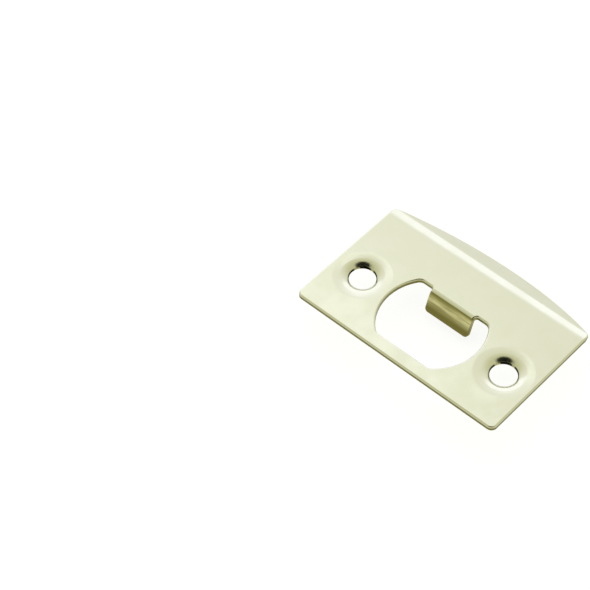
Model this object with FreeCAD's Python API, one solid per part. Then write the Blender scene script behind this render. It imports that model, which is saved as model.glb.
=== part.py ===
import FreeCAD, Part
import math
import os

from FreeCAD import Vector

# Door strike plate: one piece of pressed sheet with a latch opening, a bent tang, two dimpled screw
# holes and a curved lip. All sizes are in millimetres and degrees.
# Frame: +X runs along the length, +Y towards the lip, +Z out of the face that is seen in use.
# The origin is midway between the screw holes, on the flat back that lies against the door frame.

# Sheet
sheet = 1.2
plate_length = 57.15
plain_edge_from_screws = 13.8
plain_corner_radius = 1.5
front_edge_roll = 0.42
back_edge_break = 0.1

# Lip
fold_from_screws = 20.2
lip_tip_from_screws = 27.65
lip_angle = 38.5
lip_inner_radius = 4.4
lip_outline_radius = 51.5
lip_corner_radius = 2.2

# Latch opening, a circle cut off by one flat on the plain side and one on the lip side
opening_radius = 12.7
plain_flat_from_screws = 10.2
lip_flat_from_screws = 8.1
opening_corner_radius = 1.8

# Tang, bent down from the flat on the lip side
tang_width = 12.5
tang_angle = 70.0
tang_inner_radius = 0.8
tang_straight = 4.3
tang_corner_radius = 1.0
tang_root_radius = 0.7
# Most of the notch's floor that the opening's corner may take up, and most of the rest for the root round
corner_share_of_floor = 0.5
root_share_of_floor = 0.8

# Screw holes, each at the bottom of a pressed dimple that stands a little proud of the back
screw_spacing = 41.3
hole_radius = 3.18
skirt_radius = 7.0
skirt_depth = 0.13
skirt_lead_in_angle = 2.0
dimple_radius = 5.2
dimple_depth = 1.15
boss_radius = 6.0
boss_height = 0.4
rim_land = 0.2
rim_break = 0.1

# Cutting bodies reach this far past what they cut
margin = 5.0
# Two points closer than this are the same point
touch = 1e-4


def turned(radius, angle):
    """Offset along the sheet and drop below the start of a bend, after turning by the angle."""
    turn = math.radians(angle)
    return radius * math.sin(turn), radius * (1.0 - math.cos(turn))


def bent_strip(start, end_of_flat, heading, inner_radius, angle, straight):
    """Section of a flat strip and its bend: front skin's edges, back skin's edges and the closed wire.

    The flat runs in Y from start to end_of_flat, and heading is +1 or -1 for the way it goes on.
    """
    outer_radius = inner_radius + sheet
    out_half, drop_half = turned(outer_radius, angle / 2.0)
    out_full, drop_full = turned(outer_radius, angle)
    in_half, fall_half = turned(inner_radius, angle / 2.0)
    in_full, fall_full = turned(inner_radius, angle)
    turn = math.radians(angle)
    run = Vector(0.0, heading * straight * math.cos(turn), -straight * math.sin(turn))

    front_start = Vector(0.0, start, sheet)
    front_bend = Vector(0.0, end_of_flat, sheet)
    front_half = Vector(0.0, end_of_flat + heading * out_half, sheet - drop_half)
    front_full = Vector(0.0, end_of_flat + heading * out_full, sheet - drop_full)
    front_end = front_full + run
    back_start = Vector(0.0, start, 0.0)
    back_bend = Vector(0.0, end_of_flat, 0.0)
    back_half = Vector(0.0, end_of_flat + heading * in_half, -fall_half)
    back_full = Vector(0.0, end_of_flat + heading * in_full, -fall_full)
    back_end = back_full + run

    front = [
        Part.LineSegment(front_start, front_bend).toShape(),
        Part.Arc(front_bend, front_half, front_full).toShape(),
        Part.LineSegment(front_full, front_end).toShape(),
    ]
    back = [
        Part.LineSegment(back_end, back_full).toShape(),
        Part.Arc(back_full, back_half, back_bend).toShape(),
        Part.LineSegment(back_bend, back_start).toShape(),
    ]
    tip = Part.LineSegment(front_end, back_end).toShape()
    root = Part.LineSegment(back_start, front_start).toShape()
    return front, back, Part.Wire(front + [tip] + back + [root])


def extrude_in_x(wire, width):
    """Solid of a section in the YZ plane, with the given width about x = 0."""
    section = Part.Face(wire)
    section.translate(Vector(-width / 2.0, 0.0, 0.0))
    return section.extrude(Vector(width, 0.0, 0.0))


def edge_at(shape, spot):
    """The edge whose middle lies nearest to a spot."""
    return min(shape.Edges, key=lambda edge: edge.CenterOfMass.distanceToPoint(spot))


def edge_through(shape, spot):
    """The edge that passes nearest to a spot."""
    probe = Part.Vertex(spot)
    return min(shape.Edges, key=lambda edge: edge.distToShape(probe)[0])


def lip_layout():
    """Where the lip's bend starts, how long its straight part is, and the tip of its front skin."""
    turn = math.radians(lip_angle)
    outer_radius = lip_inner_radius + sheet
    bend_start = fold_from_screws - outer_radius * math.tan(turn / 2.0)
    out, drop = turned(outer_radius, lip_angle)
    straight = (lip_tip_from_screws - bend_start - out) / math.cos(turn)
    tip_height = sheet - drop - straight * math.sin(turn)
    return bend_start, straight, Vector(0.0, lip_tip_from_screws, tip_height)


def blank():
    """The bent sheet cut to its outline, with the lines of its front and back skins."""
    bend_start, straight, tip = lip_layout()
    front, back, section = bent_strip(
        -plain_edge_from_screws, bend_start, 1.0, lip_inner_radius, lip_angle, straight + margin
    )
    strip = extrude_in_x(section, plate_length)

    # The lip's outline is one wide arc, cut square to the lip and rounded where it meets the short edges.
    turn = math.radians(lip_angle)
    along_lip = Vector(0.0, math.cos(turn), -math.sin(turn))
    out_of_lip = Vector(0.0, math.sin(turn), math.cos(turn))
    centre = tip - along_lip * lip_outline_radius
    reach = plate_length
    disc = Part.makeCylinder(lip_outline_radius, 2.0 * reach, centre - out_of_lip * reach, out_of_lip)
    half = plate_length / 2.0
    slab = Part.makeBox(plate_length, 4.0 * reach, 4.0 * reach, Vector(-half, -2.0 * reach, -2.0 * reach))
    outline = disc.common(slab)
    side_drop = math.sqrt(lip_outline_radius ** 2 - half ** 2)
    lip_corners = [centre + along_lip * side_drop + Vector(side, 0.0, 0.0) for side in (-half, half)]
    outline = outline.makeFillet(lip_corner_radius, [edge_at(outline, spot) for spot in lip_corners])

    # The plain edge is straight, with its own two corners.
    plan_corner = Vector(-half, -plain_edge_from_screws, -reach)
    plan = Part.makeBox(plate_length, 2.0 * reach, 2.0 * reach, plan_corner)
    plain_corners = [Vector(side, -plain_edge_from_screws, 0.0) for side in (-half, half)]
    plan = plan.makeFillet(plain_corner_radius, [edge_at(plan, spot) for spot in plain_corners])

    return strip.common(outline).common(plan), Part.Wire(front), Part.Wire(back)


def notch_rounds():
    """Rounds at the two ends of the notch beside the tang, the opening's corner and the tang's root.

    Both are limited by the floor of the notch.
    """
    half_chord = math.sqrt(opening_radius ** 2 - lip_flat_from_screws ** 2)
    floor = half_chord - tang_width / 2.0
    run_per_radius = math.tan(math.acos(lip_flat_from_screws / opening_radius) / 2.0)
    corner = min(opening_corner_radius, corner_share_of_floor * floor / run_per_radius)
    root = min(tang_root_radius, root_share_of_floor * (floor - corner * run_per_radius))
    return corner, root


def tang():
    """The bent tang, left wide enough at its root for the rounded notches beside it."""
    _, root_radius = notch_rounds()
    start = lip_flat_from_screws + margin
    front, back, section = bent_strip(
        start, lip_flat_from_screws, -1.0, tang_inner_radius, tang_angle, tang_straight
    )
    wide = extrude_in_x(section, tang_width + 2.0 * root_radius)
    return wide, Part.Wire(front), Part.Wire(back)


def opening_cutter():
    """The latch opening's outline, a circle cut off by two flats, as an upright cutting body."""
    tall = Vector(0.0, 0.0, -2.0 * margin)
    disc = Part.makeCylinder(opening_radius, 4.0 * margin, tall)
    width = lip_flat_from_screws + plain_flat_from_screws
    corner = Vector(-opening_radius, -plain_flat_from_screws, -2.0 * margin)
    window = disc.common(Part.makeBox(2.0 * opening_radius, width, 4.0 * margin, corner))
    lip_side_radius, _ = notch_rounds()
    flats = [(-plain_flat_from_screws, opening_corner_radius), (lip_flat_from_screws, lip_side_radius)]
    for flat, radius in flats:
        end = math.sqrt(opening_radius ** 2 - flat ** 2)
        spots = [Vector(-end, flat, 0.0), Vector(end, flat, 0.0)]
        window = window.makeFillet(radius, [edge_at(window, spot) for spot in spots])
    return window


def notched_opening():
    """The opening's cutting body with the tang's tongue left standing and rounded at its root."""
    _, root_radius = notch_rounds()
    out, drop = turned(tang_inner_radius + sheet, tang_angle)
    tang_reach = out + tang_straight * math.cos(math.radians(tang_angle))
    depth = tang_reach + root_radius
    corner = Vector(-tang_width / 2.0, lip_flat_from_screws - depth, -2.0 * margin)
    tongue = Part.makeBox(tang_width, depth + margin, 4.0 * margin, corner)
    window = opening_cutter().cut(tongue)
    roots = [Vector(side, lip_flat_from_screws, 0.0) for side in (-tang_width / 2.0, tang_width / 2.0)]
    return window.makeFillet(root_radius, [edge_at(window, spot) for spot in roots])


def lies_on(skins, spot):
    """Whether a point, moved to the section plane, lies on one of the section's lines."""
    probe = Part.Vertex(Vector(0.0, spot.y, spot.z))
    return any(skin.distToShape(probe)[0] < touch for skin in skins)


def middle_of(face):
    """A point of the face's surface in the middle of its range."""
    u_low, u_high, v_low, v_high = face.ParameterRange
    return face.valueAt((u_low + u_high) / 2.0, (v_low + v_high) / 2.0)


def rim_edges(shape, skins):
    """The edges where a cut wall meets a skin of the sheet."""
    rims = []
    for edge in shape.Edges:
        middle = edge.valueAt((edge.FirstParameter + edge.LastParameter) / 2.0)
        if not lies_on(skins, middle):
            continue
        faces = shape.ancestorsOfType(edge, Part.Face)
        on_skin = [lies_on(skins, middle_of(face)) for face in faces]
        if on_skin.count(True) == 1:
            rims.append(edge)
    return rims


def falling_arc(outer_radius, inner_radius, level, depth, slope):
    """Arc in the XZ plane that leaves the level at a slope and falls towards the axis, and its end slope."""
    width = outer_radius - inner_radius
    chord = math.hypot(width, depth)
    tilt = math.atan2(depth, width)
    rise = chord / 2.0 * math.tan((tilt - slope) / 2.0)
    start = Vector(outer_radius, 0.0, level)
    end = Vector(inner_radius, 0.0, level - depth)
    middle = (start + end) / 2.0 + Vector(-math.sin(tilt), 0.0, math.cos(tilt)) * rise
    return Part.Arc(start, middle, end).toShape(), 2.0 * tilt - slope


def revolve_profile(arcs, points):
    """Solid turned about the Z axis from arcs, outermost first, and the lines that close their profile."""
    path = [arcs[-1].Vertexes[-1].Point] + points + [arcs[0].Vertexes[0].Point]
    lines = [Part.LineSegment(a, b).toShape() for a, b in zip(path, path[1:])]
    profile = Part.Face(Part.Wire(arcs + lines))
    return profile.revolve(Vector(0.0, 0.0, 0.0), Vector(0.0, 0.0, 1.0), 360.0)


def dimple_bodies():
    """The boss that a dimple pushes out of the back, and the cutting body of its hollow and hole."""
    boss_arc, _ = falling_arc(boss_radius, hole_radius + rim_land, 0.0, boss_height, 0.0)
    boss = revolve_profile([boss_arc], [
        Vector(0.0, 0.0, -boss_height),
        Vector(0.0, 0.0, sheet / 2.0),
        Vector(boss_radius, 0.0, sheet / 2.0),
    ])
    # A shallow skirt runs smoothly into the steep shoulder round the hole.
    lead_in = math.radians(skirt_lead_in_angle)
    skirt, slope = falling_arc(skirt_radius, dimple_radius, sheet, skirt_depth, lead_in)
    shoulder_depth = dimple_depth - skirt_depth
    shoulder, _ = falling_arc(dimple_radius, hole_radius, sheet - skirt_depth, shoulder_depth, slope)
    hollow = revolve_profile([skirt, shoulder], [
        Vector(hole_radius, 0.0, -boss_height - margin),
        Vector(0.0, 0.0, -boss_height - margin),
        Vector(0.0, 0.0, sheet + margin),
        Vector(skirt_radius, 0.0, sheet + margin),
    ])
    return boss, hollow


def dimpled(shape):
    """The plate with its two screw holes."""
    boss, hollow = dimple_bodies()
    for side in (-1.0, 1.0):
        place = Vector(side * screw_spacing / 2.0, 0.0, 0.0)
        shape = shape.fuse(boss.translated(place)).cut(hollow.translated(place))
        rims = [place + Vector(0.0, hole_radius, height) for height in (sheet - dimple_depth, -boss_height)]
        shape = shape.makeChamfer(rim_break, [edge_through(shape, spot) for spot in rims])
    return shape


def strike_plate():
    """The whole plate, as one solid."""
    plate, plate_front, plate_back = blank()
    wide_tang, tang_front, tang_back = tang()
    plate = plate.cut(opening_cutter()).fuse(wide_tang)
    plate = plate.cut(notched_opening()).removeSplitter()

    # The bottom corners of the tang are rounded through its thickness.
    front_tip = tang_front.Edges[2].Vertexes[1].Point
    back_tip = tang_back.Edges[0].Vertexes[0].Point
    tip_middle = (front_tip + back_tip) / 2.0
    low_corners = [tip_middle + Vector(side, 0.0, 0.0) for side in (-tang_width / 2.0, tang_width / 2.0)]
    plate = plate.makeFillet(tang_corner_radius, [edge_at(plate, spot) for spot in low_corners])

    # Pressing rolls the front edges over, and the back edges are only eased.
    plate = plate.makeFillet(front_edge_roll, rim_edges(plate, [plate_front, tang_front]))
    plate = plate.makeChamfer(back_edge_break, rim_edges(plate, [plate_back, tang_back]))
    return dimpled(plate)


os.makedirs("parts", exist_ok=True)
strike_plate().exportStep("parts/strike_plate.step")
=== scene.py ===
import math

import bpy
from mathutils import Matrix, Vector


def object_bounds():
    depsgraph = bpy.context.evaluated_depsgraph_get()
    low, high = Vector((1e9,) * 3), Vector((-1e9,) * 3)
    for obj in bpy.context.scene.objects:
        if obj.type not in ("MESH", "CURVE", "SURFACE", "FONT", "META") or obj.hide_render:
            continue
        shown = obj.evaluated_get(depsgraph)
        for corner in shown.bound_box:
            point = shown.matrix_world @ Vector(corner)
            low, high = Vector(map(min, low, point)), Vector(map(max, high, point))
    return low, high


# Door strike plate in satin pale nickel, lying on a pale floor in soft studio light.
# Lengths are in metres in the frame of the part: +X along the plate, +Y towards its lip, +Z out of its face.
# A span or fade is a pair of values between which something changes smoothly.

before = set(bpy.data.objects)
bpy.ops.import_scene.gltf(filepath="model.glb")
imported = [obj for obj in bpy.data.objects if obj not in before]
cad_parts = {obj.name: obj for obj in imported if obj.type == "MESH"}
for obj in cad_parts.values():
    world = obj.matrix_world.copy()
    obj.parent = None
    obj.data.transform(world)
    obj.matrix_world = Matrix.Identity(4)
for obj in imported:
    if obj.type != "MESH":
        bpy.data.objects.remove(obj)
cad_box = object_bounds()
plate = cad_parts["strike_plate"]

# Camera, at the photograph's viewing angle
camera_place = Vector((0.17815, -0.23192, 0.37741))
camera_aim = Vector((-0.02832, -0.01451, 0.0012))
camera_roll = math.radians(-1.589)
sensor_width = 36.0
photo_width_px = 590.0
focal_length_px = 2120.3
clip_near = 0.01
clip_far = 20.0

# Floor, with the light that it adds to its own for the camera, and for what the metal mirrors
floor_size = 8.0
floor_colour = (0.32, 0.32, 0.32)
floor_fill = 0.85
floor_shine = 0.71

# Room light by direction, as radiance, from the side away from its soft box up to the box itself
box_side = (-0.649, 0.721, 0.242)
room_stops = (
    (0.20, (0.67, 0.665, 0.49)),
    (0.45, (0.75, 0.745, 0.60)),
    (0.60, (0.83, 0.82, 0.72)),
    (0.70, (0.89, 0.885, 0.84)),
    (0.785, (0.95, 0.945, 0.92)),
    (0.84, (1.00, 1.00, 1.02)),
    (0.895, (1.28, 1.28, 1.50)),
)
# Two dark patches high on the near side, by direction, rim, middle and level: the second is fainter
dark_patches = (
    ((0.374, -0.487, 0.79), 0.76, 0.905, 0.01),
    ((-0.067, -0.763, 0.643), 0.84, 0.96, 0.8),
)
patch_height_span = (0.56, 0.68)

# One long soft lamp above the far side of the plate
lamp_place = Vector((-0.29, 0.226, 0.42))
lamp_length = 0.31
lamp_width = 0.062
lamp_radiance = 0.36
lamp_colour = (0.75, 0.8, 1.0)

# Colours of the metal, and of the painted shade and painted highlights on its walls, tang and hole edges
face_colour = (0.775, 0.785, 0.60)
face_mottle = (0.755, 0.765, 0.57)
wall_high = (0.78, 0.78, 0.57)
# Painted shade: the cut walls darken towards this colour at the back
wall_painted_shade = (0.205, 0.19, 0.036)
tang_high = (0.79, 0.755, 0.375)
# Painted shade: the tang darkens towards this colour down its length
tang_painted_shade = (0.20, 0.18, 0.045)
tang_line = (0.22, 0.20, 0.05)
# Painted shade in the crease of the tang's bend
crease_painted_shade = (0.32, 0.30, 0.10)
# Painted near-black shade and painted highlights on the screw holes' edges
bore_painted_shade = (0.012, 0.011, 0.003)
bore_painted_glint = (0.55, 0.52, 0.29)

# Grain of the metal: features per metre, detail and roughness of each noise
mottle_grain = (160.0, 3.0, 0.5)
speckle_grain = (1900.0, 2.0, 0.6)
line_grain = (1500.0, 3.0, 0.6)
glint_grain = (500.0, 2.0, 0.5)
line_squeeze = 0.08
glint_squeeze = 0.15

# Where a noise turns into mottle, roughness, drawn lines and the painted highlights of the hole edges
mottle_span = (0.35, 0.65)
rough_span = (0.3, 0.7)
streak_span = (0.42, 0.68)
streak_share = 0.6
painted_glint_span = (0.48, 0.58)

# Roughness and bump
face_rough_low = 0.15
face_rough_high = 0.20
dull_rough = 0.2
bump_strength = 0.3
bump_height = 0.00002
line_height_share = 2.0

# Places on the part, and heights or distances over which its metal and its painted shade change
screw_place = 0.02065
hole_radius = 0.00318
hole_shade_fade = (0.00012, 0.00026)
wall_shade_fade = (0.00068, 0.00105)
tang_box = ((-0.0063, 0.0063), (0.0025, 0.0081), (None, 0.00088))
tang_box_soft = 0.00005
tang_shade_fade = (-0.0029, 0.0)
crease_shade_fade = (0.0002, 0.0008)

# How far a surface faces up, and how far it faces sideways, as shares of its normal
upright_span = (0.3, 0.85)
skin_side_span = (0.3, 0.7)
cut_side_span = (0.5, 0.8)
cut_side_share = 0.7


def add_node(tree, kind, inputs=None, **values):
    """A new node with its values and the constants or links of its inputs."""
    node = tree.nodes.new(kind)
    for name, value in values.items():
        setattr(node, name, value)
    for key, value in (inputs or {}).items():
        if isinstance(value, bpy.types.NodeSocket):
            tree.links.new(value, node.inputs[key])
        else:
            node.inputs[key].default_value = value
    return node


def empty_tree(owner):
    """The node tree of a new material or world, with nothing in it."""
    owner.use_nodes = True
    owner.node_tree.nodes.clear()
    return owner.node_tree


def maths(tree, operation, first, second=0.0):
    """The result of one scalar operation."""
    return add_node(tree, "ShaderNodeMath", {0: first, 1: second}, operation=operation).outputs[0]


def ramp_over(tree, value, span, start=0.0, end=1.0):
    """A value that runs smoothly from start to end while its source runs over a span."""
    low, high = span
    inputs = {"Value": value, "From Min": low, "From Max": high, "To Min": start, "To Max": end}
    node = add_node(tree, "ShaderNodeMapRange", inputs, interpolation_type="SMOOTHSTEP")
    return node.outputs["Result"]


def blend_colours(tree, share, first, second):
    """The mix of two colours or colour sockets by a share."""
    node = add_node(tree, "ShaderNodeMix", data_type="RGBA")
    for key, value in ((0, share), (6, first), (7, second)):
        if isinstance(value, bpy.types.NodeSocket):
            tree.links.new(value, node.inputs[key])
        else:
            node.inputs[key].default_value = (*value, 1.0)
    return node.outputs[2]


def noise(tree, place, grain):
    """A noise value at a place, with its grain as scale, detail and roughness."""
    scale, detail, roughness = grain
    inputs = {"Vector": place, "Scale": scale, "Detail": detail, "Roughness": roughness}
    return add_node(tree, "ShaderNodeTexNoise", inputs).outputs["Fac"]


def box_mask(tree, axes, box, soft):
    """One inside a box and zero outside it, with soft sides; a side of None is left open."""
    mask = None
    for axis, (low, high) in zip(axes, box):
        for inward, edge in ((1.0, low), (-1.0, high)):
            if edge is None:
                continue
            depth = maths(tree, "MULTIPLY", maths(tree, "SUBTRACT", axis, edge), inward)
            side_mask = ramp_over(tree, depth, (-soft, soft))
            mask = side_mask if mask is None else maths(tree, "MULTIPLY", mask, side_mask)
    return mask


def share_along(tree, direction, axis):
    """The cosine of the angle between a direction and a fixed axis."""
    unit = tuple(Vector(axis).normalized())
    node = add_node(tree, "ShaderNodeVectorMath", {0: direction, 1: unit}, operation="DOT_PRODUCT")
    return node.outputs["Value"]


def tang_metal_and_shade(tree, z, side_on, lines, skin):
    """Colour of the tang: olive, darkened down its length and at the crease of its bend by painted shade,
    with drawn lines.
    """
    colour = blend_colours(tree, ramp_over(tree, z, tang_shade_fade), tang_painted_shade, tang_high)
    streaks = ramp_over(tree, lines, streak_span, 0.0, streak_share)
    colour = blend_colours(tree, maths(tree, "MULTIPLY", streaks, skin), colour, tang_line)
    colour = blend_colours(tree, ramp_over(tree, z, crease_shade_fade), colour, crease_painted_shade)
    cut_sides = ramp_over(tree, side_on, cut_side_span, 0.0, cut_side_share)
    return blend_colours(tree, cut_sides, colour, tang_line)


def hole_edge_shade_and_glints(tree, x, y, z):
    """Mask and colour of the screw holes' edges: painted near-black shade, with painted highlights that run
    down them.
    """
    hole_x = maths(tree, "SUBTRACT", x, maths(tree, "MULTIPLY", maths(tree, "SIGN", x), screw_place))
    square = maths(tree, "ADD", maths(tree, "MULTIPLY", hole_x, hole_x), maths(tree, "MULTIPLY", y, y))
    past_hole = maths(tree, "SUBTRACT", maths(tree, "SQRT", square), hole_radius)
    mask = ramp_over(tree, past_hole, hole_shade_fade, 1.0, 0.0)
    hole_z = maths(tree, "MULTIPLY", z, glint_squeeze)
    spot = add_node(tree, "ShaderNodeCombineXYZ", {0: hole_x, 1: y, 2: hole_z}).outputs[0]
    painted_glints = ramp_over(tree, noise(tree, spot, glint_grain), painted_glint_span)
    return mask, blend_colours(tree, painted_glints, bore_painted_shade, bore_painted_glint)


def plated_metal():
    """Satin nickel plate on pressed sheet, rougher on its cut walls and tang, with painted shade on them and
    on the screw holes' edges.
    """
    material = bpy.data.materials.new("plated_sheet")
    tree = empty_tree(material)
    spot = add_node(tree, "ShaderNodeTexCoord")
    place = spot.outputs["Object"]
    x, y, z = add_node(tree, "ShaderNodeSeparateXYZ", {0: place}).outputs
    facing = add_node(tree, "ShaderNodeSeparateXYZ", {0: spot.outputs["Normal"]}).outputs
    side_on = maths(tree, "ABSOLUTE", facing[0])
    up = maths(tree, "ABSOLUTE", facing[2])

    mottle = noise(tree, place, mottle_grain)
    speckle = noise(tree, place, speckle_grain)
    squeezed = add_node(tree, "ShaderNodeMapping", {"Vector": place, "Scale": (line_squeeze, 1.0, 1.0)})
    lines = noise(tree, squeezed.outputs[0], line_grain)

    # The drawn lines stay off the two cut sides of the tang
    in_tang = box_mask(tree, (x, y, z), tang_box, tang_box_soft)
    skin = maths(tree, "MULTIPLY", in_tang, ramp_over(tree, side_on, skin_side_span, 1.0, 0.0))
    steep = ramp_over(tree, up, upright_span, 1.0, 0.0)
    wall = maths(tree, "MULTIPLY", steep, maths(tree, "SUBTRACT", 1.0, in_tang))

    # Over the face come the cut walls, darkened towards the back by painted shade, then the tang and the
    # holes with their painted shade
    colour = blend_colours(tree, ramp_over(tree, mottle, mottle_span), face_colour, face_mottle)
    wall_metal_and_shade = blend_colours(tree, ramp_over(tree, z, wall_shade_fade), wall_painted_shade, wall_high)
    colour = blend_colours(tree, wall, colour, wall_metal_and_shade)
    colour = blend_colours(tree, in_tang, colour, tang_metal_and_shade(tree, z, side_on, lines, skin))
    hole_shade_mask, hole_shade_colour = hole_edge_shade_and_glints(tree, x, y, z)
    colour = blend_colours(tree, hole_shade_mask, colour, hole_shade_colour)

    # Cut walls and the tang are duller than the face
    dull = maths(tree, "MULTIPLY", maths(tree, "MAXIMUM", wall, in_tang), dull_rough)
    face_rough = ramp_over(tree, mottle, rough_span, face_rough_low, face_rough_high)

    line_height = maths(tree, "MULTIPLY", maths(tree, "MULTIPLY", lines, skin), line_height_share)
    bump = add_node(tree, "ShaderNodeBump", {
        "Strength": bump_strength,
        "Distance": bump_height,
        "Height": maths(tree, "ADD", speckle, line_height),
    })
    shader = add_node(tree, "ShaderNodeBsdfPrincipled", {
        "Base Color": colour,
        "Metallic": 1.0,
        "Roughness": maths(tree, "ADD", face_rough, dull),
        "Normal": bump.outputs["Normal"],
    })
    add_node(tree, "ShaderNodeOutputMaterial", {"Surface": shader.outputs[0]})
    return material


def pale_floor():
    """A wide pale floor, shown as white where nothing shades it."""
    material = bpy.data.materials.new("pale_floor")
    tree = empty_tree(material)
    ray = add_node(tree, "ShaderNodeLightPath").outputs
    mirrored = maths(tree, "MAXIMUM", ray["Is Glossy Ray"], ray["Is Transmission Ray"])
    fill = maths(tree, "MULTIPLY", ray["Is Camera Ray"], floor_fill)
    shine = maths(tree, "MULTIPLY", mirrored, floor_shine)
    matt = add_node(tree, "ShaderNodeBsdfDiffuse", {"Color": (*floor_colour, 1.0)})
    glow = add_node(tree, "ShaderNodeEmission", {
        "Color": (1.0, 1.0, 1.0, 1.0),
        "Strength": maths(tree, "MAXIMUM", fill, shine),
    })
    both = add_node(tree, "ShaderNodeAddShader", {0: matt.outputs[0], 1: glow.outputs[0]})
    add_node(tree, "ShaderNodeOutputMaterial", {"Surface": both.outputs[0]})

    bpy.ops.mesh.primitive_plane_add(size=floor_size, location=(0.0, 0.0, cad_box[0][2]))
    floor = bpy.context.object
    floor.name = "floor"
    floor.data.materials.append(material)


def studio_room():
    """Soft light from all round, brightest at the soft box, with two dark patches on the near side."""
    world = bpy.data.worlds.new("studio_room")
    bpy.context.scene.world = world
    tree = empty_tree(world)
    direction = add_node(tree, "ShaderNodeTexCoord").outputs["Generated"]
    height = add_node(tree, "ShaderNodeSeparateXYZ", {0: direction}).outputs[2]
    towards_box = share_along(tree, direction, box_side)

    colour = room_stops[0][1]
    for (low, _), (high, stop) in zip(room_stops, room_stops[1:]):
        colour = blend_colours(tree, ramp_over(tree, towards_box, (low, high)), colour, stop)

    strength = 1.0
    high_up = ramp_over(tree, height, patch_height_span)
    for patch_side, rim, middle, level in dark_patches:
        dark = ramp_over(tree, share_along(tree, direction, patch_side), (rim, middle))
        dark = maths(tree, "MULTIPLY", dark, high_up)
        strength = maths(tree, "MULTIPLY", strength, ramp_over(tree, dark, (0.0, 1.0), 1.0, level))

    light = add_node(tree, "ShaderNodeBackground", {"Color": colour, "Strength": strength})
    add_node(tree, "ShaderNodeOutputWorld", {"Surface": light.outputs[0]})


def soft_lamp():
    """A long soft lamp that faces down; its power follows from its radiance and area."""
    data = bpy.data.lights.new("soft_lamp", "AREA")
    data.shape = "RECTANGLE"
    data.size = lamp_length
    data.size_y = lamp_width
    data.color = lamp_colour
    data.energy = lamp_radiance * math.pi * lamp_length * lamp_width
    lamp = bpy.data.objects.new("soft_lamp", data)
    lamp.location = lamp_place
    bpy.context.scene.collection.objects.link(lamp)


def photo_camera():
    """Camera where the photograph was taken from."""
    data = bpy.data.cameras.new("camera")
    data.sensor_width = sensor_width
    data.sensor_fit = "HORIZONTAL"
    data.lens = sensor_width * focal_length_px / photo_width_px
    data.clip_start = clip_near
    data.clip_end = clip_far
    camera = bpy.data.objects.new("camera", data)
    look = (camera_aim - camera_place).to_track_quat("-Z", "Y").to_matrix().to_4x4()
    camera.matrix_world = Matrix.Translation(camera_place) @ look @ Matrix.Rotation(camera_roll, 4, "Z")
    bpy.context.scene.collection.objects.link(camera)
    bpy.context.scene.camera = camera


plate.data.materials.clear()
plate.data.materials.append(plated_metal())
pale_floor()
studio_room()
soft_lamp()
photo_camera()
bpy.context.scene.view_settings.view_transform = "Standard"
